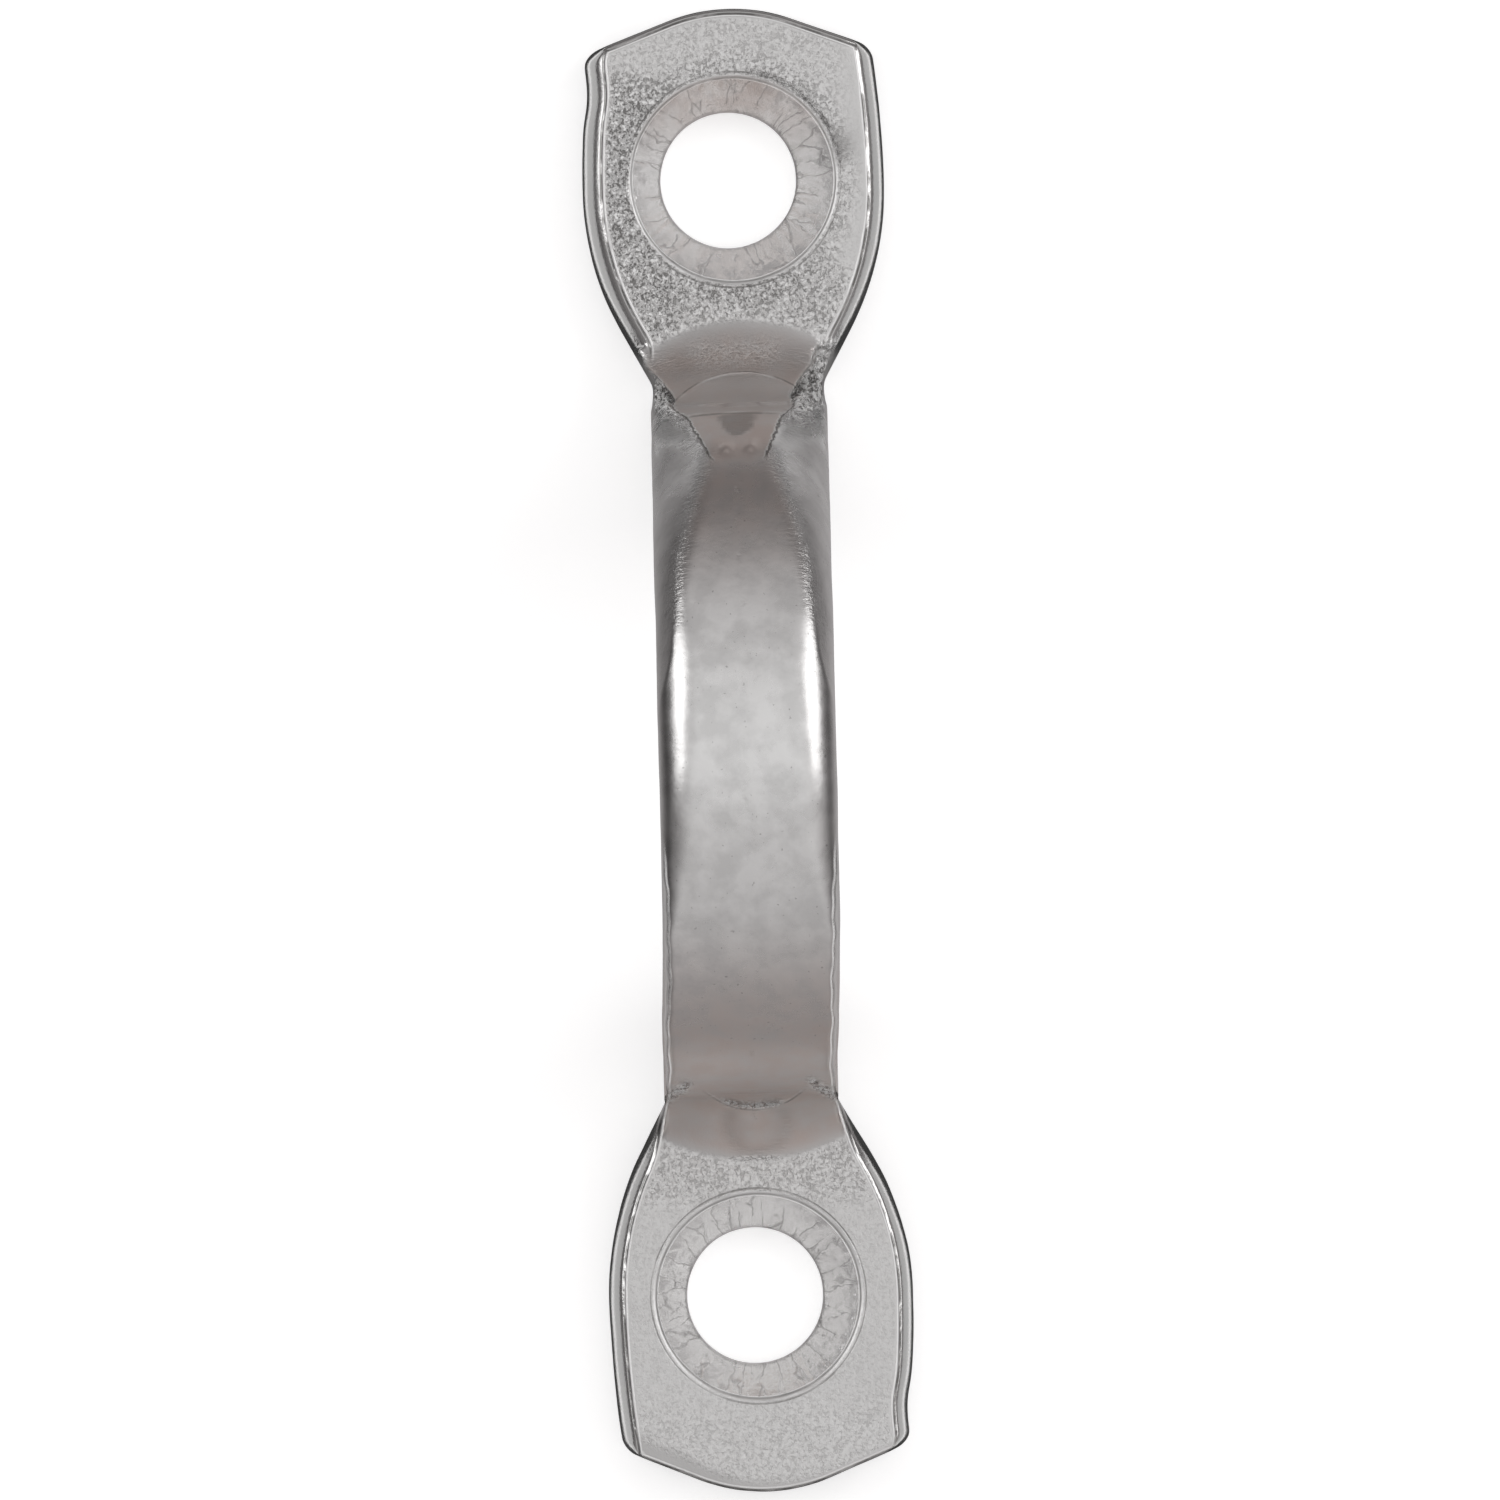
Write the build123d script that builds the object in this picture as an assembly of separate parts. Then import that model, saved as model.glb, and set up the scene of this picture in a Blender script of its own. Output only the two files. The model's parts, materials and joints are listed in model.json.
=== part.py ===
from build123d import *
from math import cos, radians, sin, tan
import os

# Pad eye: one stainless bar bent up into a bow, its two ends pressed flat into pads
# that are drilled and countersunk. Millimetres. +X runs along the part, +Z is up, and
# the origin is on the deck plane under the middle of the part.

OVERALL_LENGTH = 60.0

PAD_THICKNESS = 3.0
PAD_WIDTH = 12.3
PAD_WIDEST_AT = 22.4            # distance of the widest place from the middle
PAD_CORNER_HALF_WIDTH = 5.75
PAD_CORNER_RADIUS = 0.6
TIP_RADIUS = 7.1                # blunt rounded end of a pad
TIP_FLANK_ANGLE = 21.5          # straight flanks from the rounded end to the corners
NECK_SIDE_RADIUS = 12.0         # pad side on its way in to the neck
NECK_ANGLE = 28.6               # slope of the neck's sides to the long axis
NECK_FOOT_RADIUS = 1.5          # hollow where the neck meets the bar

BAR_WIDTH = 7.15
BAR_THICKNESS = 5.8
BOW_OUTER_RADIUS = 14.2
ROOT_RADIUS = 3.2               # hollow between a pad's top and the leg's outer face
HEEL_RADIUS = 5.0               # outside of the bend under each leg
UPPER_EDGE_RADIUS = 0.9         # top rims of the pads and shoulders of the bow
LOWER_EDGE_RADIUS = 1.7         # under the pads and round the inside of the eye

HOLE_PITCH = 45.15
HOLE_SHIFT = 0.5                # the pair of holes sits a little towards +X
HOLE_DIAMETER = 5.5
COUNTERSINK_DIAMETER = 8.5
COUNTERSINK_ANGLE = 90.0

HALF_LENGTH = OVERALL_LENGTH / 2
BOW_CENTRE_HEIGHT = PAD_THICKNESS + ROOT_RADIUS
OVERALL_HEIGHT = BOW_CENTRE_HEIGHT + BOW_OUTER_RADIUS


def plan_outline():
    """The whole part seen from above: two pads, their necks and the bar between them."""
    half_bar = BAR_WIDTH / 2
    flank = radians(TIP_FLANK_ANGLE)
    neck = radians(NECK_ANGLE)
    tip = Vector(HALF_LENGTH, 0)
    tip_end = tip + Vector(-TIP_RADIUS * (1 - cos(flank)), TIP_RADIUS * sin(flank))
    corner_x = tip_end.X - (PAD_CORNER_HALF_WIDTH - tip_end.Y) * tan(flank)
    corner = Vector(corner_x, PAD_CORNER_HALF_WIDTH)
    widest = Vector(PAD_WIDEST_AT, PAD_WIDTH / 2)
    neck_top = widest - Vector(NECK_SIDE_RADIUS * sin(neck), NECK_SIDE_RADIUS * (1 - cos(neck)))
    neck_foot = Vector(neck_top.X - (neck_top.Y - half_bar) / tan(neck), half_bar)
    with BuildSketch() as outline:
        with BuildLine():
            Line((0, half_bar), neck_foot)
            Line(neck_foot, neck_top)
            TangentArc(neck_top, widest, tangent=(cos(neck), sin(neck)))
            TangentArc(widest, corner, tangent=(1, 0))
            Line(corner, tip_end)
            TangentArc(tip_end, tip, tangent=(sin(flank), -cos(flank)))
            mirror(about=Plane.XZ)
            mirror(about=Plane.YZ)
        make_face()
        corners = outline.vertices().filter_by(lambda v: abs(abs(v.X) - corner.X) < 0.01)
        fillet(corners, PAD_CORNER_RADIUS)
        feet = outline.vertices().filter_by(lambda v: abs(abs(v.X) - neck_foot.X) < 0.01)
        fillet(feet, NECK_FOOT_RADIUS)
    return outline.sketch


def top_line():
    """Upper edge of the side view: pads, root hollows and the outside of the bow."""
    root_x = BOW_OUTER_RADIUS + ROOT_RADIUS
    bow_foot = (BOW_OUTER_RADIUS, BOW_CENTRE_HEIGHT)
    with BuildLine() as line:
        Line((HALF_LENGTH, PAD_THICKNESS), (root_x, PAD_THICKNESS))
        TangentArc((root_x, PAD_THICKNESS), bow_foot, tangent=(-1, 0))
        TangentArc(bow_foot, (0, OVERALL_HEIGHT), tangent=(0, 1))
        mirror(about=Plane.YZ)
    return Plane.XZ * line.line


def bottom_line():
    """Lower edge of the side view: pad undersides, heels and the inside of the eye."""
    inner_radius = BOW_OUTER_RADIUS - BAR_THICKNESS
    leg_top = (inner_radius, BOW_CENTRE_HEIGHT)
    leg_foot = (inner_radius, HEEL_RADIUS)
    heel = (inner_radius + HEEL_RADIUS, 0)
    with BuildLine() as line:
        TangentArc(leg_top, (0, BOW_CENTRE_HEIGHT + inner_radius), tangent=(0, 1))
        Line(leg_top, leg_foot)
        TangentArc(leg_foot, heel, tangent=(0, -1))
        Line(heel, (HALF_LENGTH, 0))
        mirror(about=Plane.YZ)
    return Plane.XZ * line.line


def side_profile():
    """The whole part seen from the side."""
    tip = Plane.XZ * Line((HALF_LENGTH, 0), (HALF_LENGTH, PAD_THICKNESS))
    edges = [tip, mirror(tip, Plane.YZ)]
    edges += top_line().edges()
    edges += bottom_line().edges()
    return make_face(edges)


def rim_edges(blank, line):
    """Edges of the blank that lie along one line of the side view, off the middle plane."""
    rims = []
    for edge in blank.edges():
        middle = edge.position_at(0.5)
        on_line = line.distance_to(Vector(middle.X, 0, middle.Z)) < 0.01
        if on_line and abs(middle.Y) > 0.1:
            rims.append(edge)
    return rims


def pad_eye():
    """The bent and pressed bar with its edges rounded and its screw holes cut."""
    plan = extrude(plan_outline(), amount=OVERALL_HEIGHT)
    side = extrude(side_profile(), amount=PAD_WIDTH, both=True)
    bar = (plan & side).solid()
    bar = bar.fillet(LOWER_EDGE_RADIUS, rim_edges(bar, bottom_line()))
    bar = bar.fillet(UPPER_EDGE_RADIUS, rim_edges(bar, top_line()))
    with BuildPart() as eye:
        add(bar)
        with Locations(*hole_places()):
            CounterSinkHole(
                radius=HOLE_DIAMETER / 2,
                counter_sink_radius=COUNTERSINK_DIAMETER / 2,
                counter_sink_angle=COUNTERSINK_ANGLE,
            )
    return eye.part


def hole_places():
    """Hole centres at the pads' top faces."""
    return [(HOLE_SHIFT + side * HOLE_PITCH / 2, 0, PAD_THICKNESS) for side in (-1, 1)]


os.makedirs("parts", exist_ok=True)
part = pad_eye()
part.label = "pad_eye"
export_step(part, "parts/pad_eye.step")
print("volume", part.volume, "valid", part.is_valid, part.bounding_box())
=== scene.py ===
import json
from math import cos, radians, sin, tan

import bpy
import numpy as np
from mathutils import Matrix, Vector


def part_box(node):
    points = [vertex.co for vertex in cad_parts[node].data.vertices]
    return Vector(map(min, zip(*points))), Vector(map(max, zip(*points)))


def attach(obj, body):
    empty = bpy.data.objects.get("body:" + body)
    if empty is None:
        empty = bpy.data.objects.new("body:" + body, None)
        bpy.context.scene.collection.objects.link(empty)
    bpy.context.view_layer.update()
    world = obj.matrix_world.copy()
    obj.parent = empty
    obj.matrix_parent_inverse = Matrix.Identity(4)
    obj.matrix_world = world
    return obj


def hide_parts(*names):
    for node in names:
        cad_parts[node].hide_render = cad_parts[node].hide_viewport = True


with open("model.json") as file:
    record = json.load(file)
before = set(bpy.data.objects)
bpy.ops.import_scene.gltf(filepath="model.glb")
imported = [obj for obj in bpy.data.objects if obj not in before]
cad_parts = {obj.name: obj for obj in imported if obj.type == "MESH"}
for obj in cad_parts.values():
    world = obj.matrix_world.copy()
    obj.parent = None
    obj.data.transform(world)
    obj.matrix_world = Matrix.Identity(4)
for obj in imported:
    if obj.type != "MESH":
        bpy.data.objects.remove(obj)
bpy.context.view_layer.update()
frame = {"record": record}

MM = 0.001

# The pad eye is one bar of steel, so it is one mesh. field() gives the distance to its surface, a fine net
# is laid over that surface, press texture is moved into the net, and each vertex carries the finish zones,
# painted shade among them, that the steel reads.

# ------------------------------------------------------------------ sizes, in millimetres
NODE = "pad_eye"
LOW, HIGH = (np.array(corner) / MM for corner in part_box(NODE))
HALF_LENGTH = (HIGH[0] - LOW[0]) / 2
HALF_WIDTH = (HIGH[1] - LOW[1]) / 2
HEIGHT = HIGH[2]
MOUNTS = {mount["name"]: mount for mount in frame["record"]["mounts"]}

PAD_TOP = 3.0
PAD_MIDDLE = PAD_TOP / 2
BAR_HALF = 3.56                  # half the width of the bar
LEG_SHIFT = 0.21                 # the -X leg stands a little to one side
BOW_OUTER = 14.2
BOW_INNER = 8.4
BOW_X = 0.3                      # the bow leans a little towards the +X pad
BOW_Z = HEIGHT - BOW_OUTER
HEEL_RADIUS = 5.0
SHOULDER_DEPTH = 1.35            # how far the bow's rounded shoulders reach down its sides
HOLE_RADIUS = MOUNTS["screw_hole_front"]["dims"]["r_mm"]
SINK_RADIUS = 4.2
SINK_FACETS = 9                  # chatter marks left round the cone by the cutter

# One entry for each end, +1 at +X and -1 at -X:
#   half, widest       half the pad's width, and how far from the part's middle it is that wide
#   flank              slope of the two straight flanks of the blunt end
#   end_round, bevel   round on the end's upper edge, and width of the shallow bevel behind it
#   hole_y, sink_y     how far the hole and its countersink lie to one side
#   sag, flare         how far each long side rolls past the top face, and which side's corner flares
#   root_*             start, curve, middle, slope and inset of the hollow up to the leg; its join's radius
PADS = {
    1: dict(half=HALF_WIDTH - 0.05, widest=22.7, flank=radians(20.5), end_round=0.3, bevel=0.0,
            mount="screw_hole_front", hole_y=0.2, sink_y=0.0, sag={1: 0.82, -1: 0.68}, flare=1,
            root_start=17.45, root_curve=0.078, root_y=-0.15, root_slope=radians(24), root_inset=0.44,
            root_join=1.5),
    -1: dict(half=HALF_WIDTH, widest=22.1, flank=radians(22.5), end_round=0.12, bevel=0.5,
             mount="screw_hole_back", hole_y=0.25, sink_y=0.12, sag={1: 0.66, -1: 0.6}, flare=-1,
             root_start=16.6, root_curve=0.065, root_y=0.1, root_slope=radians(27), root_inset=0.0,
             root_join=0.5),
}
PAD_OUTER_ARC = 42.0             # radius of the long sides from the widest place outwards
PAD_NECK_ARC = 12.0              # and from there inwards, until the slope of the neck is reached
NECK_SLOPE = radians(28.6)
TIP_RADIUS = 7.1
CORNER_RADIUS = 0.45
SIDE_SWELL = 0.95                # how round the pad's sides are, 1 being a full ellipse
SIDE_ROUND = 0.07                # round on the upper edge of the long sides
BEVEL_SLOPE = 0.28
ROLL_START = 13.5                # the long sides' roll grows between these two distances from the middle
ROLL_FULL = 17.0

# The tongue-shaped die mark that runs from the +X pad up its leg
TONGUE_TOP = 11.65
TONGUE_BEND = 13.4               # its sides spread faster from here to its foot
TONGUE_FOOT = 16.3
TONGUE_DRIFT = 0.07              # how far it lies to the +Y side, and how fast it goes on that way
TONGUE_ARC = 2.85                # radius of its sunk floor, across the leg

# Small swellings inside the marks: place, radius and height
SWELLING_X = -15.2
SWELLINGS = [(12.2, 0.55, 0.24, 0.2), (12.25, -0.42, 0.24, 0.2), (SWELLING_X, 0, 0.7, 0.16)]
CHIPPED_RIM = (25.9, -2.9)       # middle of the chipped stretch of the +X countersink's rim


# ------------------------------------------------------------------ distance-field tools
def ease(value, start, end):
    """0 before start, 1 after end, smooth between."""
    t = np.clip((value - start) / (end - start), 0, 1)
    return t * t * (3 - 2 * t)


def bell(value, centre, width):
    return np.exp(-((value - centre) / width) ** 2)


def round_cut(a, b, radius):
    """Both a and b, with their shared convex edge rounded."""
    u = np.maximum(a + radius, 0)
    v = np.maximum(b + radius, 0)
    return np.minimum(-radius, np.maximum(a, b)) + np.hypot(u, v)


def oval_cut(a, b, radius_a, radius_b):
    """Both a and b, with their shared convex edge turned into a quarter of an ellipse."""
    u = np.maximum(a / radius_a + 1, 0)
    v = np.maximum(b / radius_b + 1, 0)
    reach = np.hypot(u, v)
    corner = reach * (reach - 1) / (np.hypot(u / radius_a, v / radius_b) + 1e-9)
    return np.where((u > 0) & (v > 0), corner, np.maximum(a, b))


def round_join(a, b, radius):
    """Either a or b, with a hollow fillet between them."""
    u = np.maximum(radius - a, 0)
    v = np.maximum(radius - b, 0)
    return np.maximum(radius, np.minimum(a, b)) - np.hypot(u, v)


# ------------------------------------------------------------------ the shape
def bar_middle(x):
    return LEG_SHIFT * bell(x, -13.3, 4.4)


def arc_drop(along, radius):
    """How far a circle has fallen away at some distance along its tangent."""
    return radius - np.sqrt(radius ** 2 - along ** 2)


def pad_side(ax, y, end):
    """Distance outside a pad's long sides and neck; ax is the distance from the middle."""
    pad = PADS[end]
    outwards = np.clip(ax - pad["widest"], 0, 10)
    inwards = np.clip(pad["widest"] - ax, 0, 20)
    on_arc = np.minimum(inwards, PAD_NECK_ARC * sin(NECK_SLOPE))
    drop = arc_drop(outwards, PAD_OUTER_ARC) + arc_drop(on_arc, PAD_NECK_ARC)
    drop = drop + (inwards - on_arc) * tan(NECK_SLOPE)
    flare = 0.12 * bell(ax, 28.0, 0.6) - 0.1 * bell(ax, 26.4, 0.8)
    half = pad["half"] - drop + flare * (np.sign(y) == pad["flare"])
    slope = on_arc / np.sqrt(PAD_NECK_ARC ** 2 - on_arc ** 2)
    return (np.abs(y - bar_middle(ax * end)) - half) / np.sqrt(1 + slope ** 2)


def side_sag(ax, y, end):
    """How far a pad's top face stops short of its widest outline, on the side where y lies."""
    sag = PADS[end]["sag"]
    return np.where(y > 0, sag[1], sag[-1]) * ease(ax, ROLL_START, ROLL_FULL)


def pad_end(ax, y, end):
    """Distance outside a pad's blunt end: a round tip between two straight flanks."""
    flank = PADS[end]["flank"]
    ahead = ax - (HALF_LENGTH - TIP_RADIUS)
    straight = ahead * cos(flank) + np.abs(y) * sin(flank)
    on_flank = np.abs(y) * cos(flank) > ahead * sin(flank)
    return np.where(on_flank, straight, np.hypot(ahead, y)) - TIP_RADIUS


def pad_body(x, y, z, end):
    """Distance outside a pad: rolled long sides, a blunt end and a bevel along that end."""
    pad = PADS[end]
    ax = x * end
    side = pad_side(ax, y, end)
    tip = pad_end(ax, y, end)
    height = SIDE_SWELL * (np.clip(z, 0, PAD_TOP) - PAD_MIDDLE) / PAD_MIDDLE
    full = 1 - np.sqrt(1 - SIDE_SWELL ** 2)
    side = side + side_sag(ax, y, end) * (1 - np.sqrt(1 - height ** 2)) / full
    outline = round_cut(side, tip, CORNER_RADIUS)
    bevel = pad["bevel"] * (1 + 0.6 * np.sign(y) * ease(np.abs(y), 0, 4))
    top = z - PAD_TOP + BEVEL_SLOPE * np.clip(tip + bevel, 0, bevel)
    edge = SIDE_ROUND + (pad["end_round"] - SIDE_ROUND) * ease(tip - side, -0.8, 0.2)
    return round_cut(top, outline, edge)


def hollow_start(y, end):
    """How far from the middle the hollow between pad and leg starts: along an arc across the pad."""
    pad = PADS[end]
    return pad["root_start"] - np.minimum(pad["root_curve"] * (y - pad["root_y"]) ** 2, 2.2)


def root_hollow(x, y, z, end):
    """Distance outside the hollow that leads from a pad's face up to its leg."""
    ax = x * end
    wall = BOW_OUTER + BOW_X * end - PADS[end]["root_inset"]
    slope = PADS[end]["root_slope"]
    start = hollow_start(y, end)
    radius = (start - wall) / (1 - sin(slope))
    centre = PAD_TOP + radius * cos(slope)
    inside = np.hypot(np.maximum(wall + radius - ax, 0), np.maximum(centre - z, 0))
    return np.maximum(np.maximum(radius - inside, z - centre), ax - start - 0.2)


def bow_angle(x, z):
    """Degrees from the crown, positive towards +X, and 90 down both legs."""
    return np.degrees(np.arctan2(x - BOW_X, np.maximum(z - BOW_Z, 0)))


def shoulder_radius(angle):
    """Square on the -X leg and soft over the crown; on the +X leg the facets take over."""
    radius = 0.17 + 1.05 * ease(angle, -36, -12) + 0.35 * ease(angle, -12, 4)
    return radius - 0.7 * ease(angle, 14, 42)


def ridge_half(angle):
    """Half width of the strip left between the two shoulder facets, narrowing down the +X leg."""
    return 4.1 - 0.9 * ease(angle, 2, 16) - 2.4 * ease(angle, 5, 75)


def shoulder_facet(outer, across, angle):
    """Distance outside the slanting facets on both sides of the +X leg's ridge."""
    tilt = np.radians(37 - 25 * ease(angle, 52, 80))
    return outer * np.cos(tilt) + (across - ridge_half(angle)) * np.sin(tilt)


def bar_swell(arch, angle):
    """How much narrower the bar is at its inner and outer faces than half way between them."""
    depth = (arch - (BOW_OUTER + BOW_INNER) / 2) / ((BOW_OUTER - BOW_INNER) / 2)
    return (0.1 + 0.17 * ease(angle, -10, -40)) * np.clip(depth, -1, 1) ** 2


def edge_waver(x):
    """The -X leg's trimmed edges are not quite straight."""
    return (0.03 * np.sin(1.9 * x + 0.5) + 0.02 * np.sin(5.3 * x)) * ease(x, -3.5, -6.0)


def mark_half(ax):
    """Half width of the tongue, which bulges a little below its bend and above its foot."""
    half = 1.03 + 0.48 * np.clip(ax - TONGUE_TOP, 0, TONGUE_BEND - TONGUE_TOP)
    half = half + 0.62 * np.clip(ax - TONGUE_BEND, 0, TONGUE_FOOT - TONGUE_BEND)
    return half + 0.24 * bell(ax, 13.85, 0.24) + 0.18 * bell(ax, 15.5, 0.35)


def mark_across(ax, y):
    """Distance outside the tongue's edges, in plan."""
    return np.abs(y - TONGUE_DRIFT * (1 + ax - TONGUE_TOP)) - mark_half(ax)


def tongue_depth(ax):
    """How far the tongue lies below the leg's ridge; it fades out up the leg."""
    sunk = np.clip(mark_half(ax) - 0.72, 0, 1.55) ** 2 / (2 * TONGUE_ARC)
    return (sunk + 0.04) * ease(ax, 11.0, 12.8)


def bow_body(x, y, z):
    """Distance outside the bow, and outside its round outer face alone."""
    arch = np.hypot(x - BOW_X, np.maximum(z - BOW_Z, 0))
    angle = bow_angle(x, z)
    outer = arch - BOW_OUTER
    across = np.abs(y - bar_middle(x))
    waver = edge_waver(x) * ease(arch, BOW_OUTER - 1.6, BOW_OUTER - 0.6)
    side = across - BAR_HALF + waver + bar_swell(arch, angle)
    shoulder = shoulder_radius(angle)
    top = np.where(angle > 0, round_cut(outer, shoulder_facet(outer, across, angle), 0.3), outer)
    return oval_cut(top, side, np.minimum(shoulder, SHOULDER_DEPTH), shoulder), outer


def under_side(x, z):
    """Distance outside the deck plane, the heels and the inside of the eye."""
    arch = np.hypot(x - BOW_X, np.maximum(z - BOW_Z, 0))
    return round_cut(-z, BOW_INNER - arch, HEEL_RADIUS)


def hole_x(end):
    return MOUNTS[PADS[end]["mount"]]["pos_m"][0] / MM


def screw_hole(x, y, z, end):
    """Distance inside the clear hole and its countersink, and the height of the rim's burr."""
    pad = PADS[end]
    centre = hole_x(end)
    hole = HOLE_RADIUS - np.hypot(x - centre, y - pad["hole_y"])
    away = np.hypot(x - centre, y - pad["sink_y"])
    turn = np.arctan2(y - pad["sink_y"], x - centre)
    chatter = 0.02 * np.abs(np.sin(SINK_FACETS * turn + 1.2 * away)) + 0.006 * np.sin(23 * turn)
    cone = (SINK_RADIUS - (PAD_TOP - z) - away) / np.sqrt(2) - chatter * ease(away, 4.1, 3.7)
    lip = (0.005 + 0.003 * np.sin(3 * turn + 1)) * bell(away, SINK_RADIUS + 0.06, 0.12)
    return np.maximum(hole, cone), lip


def crescent(x, y):
    """How far inside a shallow die mark's outline a point lies, in plan; there is a mark at each root."""
    front = np.minimum(3.8 - np.hypot(x - 11.46, y + 0.15), x - 13.6 + 0.03 * y ** 2)
    back = np.minimum(2.9 - np.hypot(x + 11.6, y - 0.05), 0.3 * (-13.25 - x))
    return np.where(x > 0, front, back)


def die_bumps(x, y):
    return sum(height * bell(np.hypot(x - bump_x, y - bump_y), 0, radius)
               for bump_x, bump_y, radius, height in SWELLINGS)


def above_pads(z, start, end):
    """0 below and 1 above a level near the pads' top, counted from that top."""
    return ease(z, PAD_TOP + start, PAD_TOP + end)


def field(x, y, z):
    """Distance outside the whole part, in millimetres."""
    bow, outer = bow_body(x, y, z)
    body = bow
    bar_side = np.abs(y - bar_middle(x)) - BAR_HALF
    outline = bar_side
    for end, pad in PADS.items():
        hole, lip = screw_hole(x, y, z, end)
        pad_part = np.maximum(pad_body(x, y, z - lip, end), hole)
        side = np.minimum(bar_side, pad_side(x * end, y, end))
        inset = 0.05 + 0.4 * ease(-x, 14.0, 15.4) + 0.24 * ease(z, 4.8, 7.2)
        edge = mark_across(x, y) if end > 0 else side + inset
        hollow = root_hollow(x, y, z, end)
        joined = np.minimum(round_join(pad_part, bow, pad["root_join"]), round_cut(hollow, edge, 0.12))
        if end > 0:
            tongue = np.minimum(np.minimum(hollow, outer + tongue_depth(x)), z - PAD_TOP)
            joined = np.maximum(joined, tongue - 3 * ease(edge, -0.05, 0.1))
        body = np.where(x * end > 0, joined, body)
        outline = np.where(x * end > 0, side, outline)
    body = body + 0.05 * ease(crescent(x, y), 0, 0.12) * above_pads(z, 0.1, 0.6)
    body = body - die_bumps(x, y) * above_pads(z, 0.1, 0.4)
    lower_round = 2.2 - 1.95 * ease(np.abs(x), 11, 15.5)
    return np.maximum(body, round_cut(under_side(x, z), outline, lower_round))


# ------------------------------------------------------------------ field to mesh
def graded(stops):
    """Grid lines from (start, end, step) stretches."""
    lines = [np.linspace(a, b, max(1, round((b - a) / step)), endpoint=False) for a, b, step in stops]
    return np.append(np.concatenate(lines), stops[-1][1])


def surface_net(values, axes):
    """One vertex in each grid cell that the surface crosses, one quad for each crossed edge."""
    inside = values < 0
    shape = tuple(n - 1 for n in values.shape)
    count = np.zeros(shape, np.float32)
    total = np.zeros((3,) + shape, np.float32)
    for axis in range(3):
        low = [slice(None)] * 3
        high = [slice(None)] * 3
        low[axis] = slice(None, -1)
        high[axis] = slice(1, None)
        a = values[tuple(low)]
        b = values[tuple(high)]
        crossed = (a < 0) != (b < 0)
        part = np.where(crossed, a / np.where(crossed, a - b, 1), 0)
        others = [k for k in range(3) if k != axis]
        for da in (0, 1):
            for db in (0, 1):
                window = [slice(None)] * 3
                window[others[0]] = slice(da, da + shape[others[0]])
                window[others[1]] = slice(db, db + shape[others[1]])
                hit = crossed[tuple(window)]
                count += hit
                total[axis] += part[tuple(window)] * hit
                total[others[0]] += da * hit
                total[others[1]] += db * hit
    cells = np.argwhere(count > 0)
    number = np.full(shape, -1, np.int64)
    number[tuple(cells.T)] = np.arange(len(cells))
    points = np.empty((len(cells), 3))
    for axis in range(3):
        offset = total[axis][tuple(cells.T)] / count[tuple(cells.T)]
        start = axes[axis][cells[:, axis]]
        step = axes[axis][cells[:, axis] + 1] - start
        points[:, axis] = start + offset * step
    quads = []
    for axis in range(3):
        first, second = [(1, 2), (2, 0), (0, 1)][axis]
        low = [slice(None)] * 3
        high = [slice(None)] * 3
        low[axis] = slice(None, -1)
        high[axis] = slice(1, None)
        for out, a, b in ((False, inside[tuple(low)], inside[tuple(high)]),
                          (True, inside[tuple(high)], inside[tuple(low)])):
            at = np.argwhere(a & ~b)
            ring = []
            for d1, d2 in ((0, 0), (-1, 0), (-1, -1), (0, -1)):
                cell = at.copy()
                cell[:, first] += d1
                cell[:, second] += d2
                ring.append(number[tuple(cell.T)])
            ring = np.stack(ring, axis=1)
            quads.append(ring[:, ::-1] if out else ring)
    return points, np.concatenate(quads)


def gradient(points, step=0.01):
    """Slope of the field at each point."""
    slopes = []
    for axis in range(3):
        ahead = points.copy()
        behind = points.copy()
        ahead[:, axis] += step
        behind[:, axis] -= step
        slopes.append((field(*ahead.T) - field(*behind.T)) / (2 * step))
    return np.stack(slopes, axis=1)


def onto_surface(points, passes):
    """Moves points down the slope to where the field is 0, by at most 0.1 mm at a time."""
    for _ in range(passes):
        slope = gradient(points)
        steep = np.maximum((slope ** 2).sum(axis=1), 0.25)
        move = slope * (field(*points.T) / steep)[:, None]
        length = np.linalg.norm(move, axis=1, keepdims=True)
        points = points - move * np.minimum(1, 0.1 / np.maximum(length, 1e-9))
    return points


def relaxed(points, quads, rounds):
    """Evens out the net: each vertex moves to the middle of its neighbours and back to the surface."""
    a = quads.ravel()
    b = np.roll(quads, -1, axis=1).ravel()
    degree = np.bincount(a, minlength=len(points)) + np.bincount(b, minlength=len(points))
    for _ in range(rounds):
        middle = np.zeros_like(points)
        for axis in range(3):
            middle[:, axis] = np.bincount(a, points[b, axis], len(points))
            middle[:, axis] += np.bincount(b, points[a, axis], len(points))
        points = points + 0.5 * (middle / degree[:, None] - points)
        points = onto_surface(points, 1)
    return points


def pad_eye_mesh():
    """Vertices and quads of the smooth part; the net is finest at the roots."""
    half = HALF_LENGTH + 0.5
    x = graded([(-half, -16.8, 0.155), (-16.8, -12.8, 0.11), (-12.8, -10.0, 0.17), (-10.0, 10.0, 0.27),
                (10.0, 11.2, 0.17), (11.2, 17.6, 0.105), (17.6, half, 0.155)])
    y = graded([(-HALF_WIDTH - 0.5, -4.3, 0.15), (-4.3, -1.7, 0.12), (-1.7, 1.7, 0.16), (1.7, 4.3, 0.12),
                (4.3, HALF_WIDTH + 0.5, 0.15)])
    z = graded([(-0.4, 2.2, 0.19), (2.2, 5.0, 0.12), (5.0, HEIGHT + 0.5, 0.2)])
    values = field(x[:, None, None], y[None, :, None], z[None, None, :]).astype(np.float32)
    points, quads = surface_net(values, (x, y, z))
    points = onto_surface(points, 2)
    points = relaxed(points, quads, 3)
    points = onto_surface(points, 2)
    return points, quads


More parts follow.
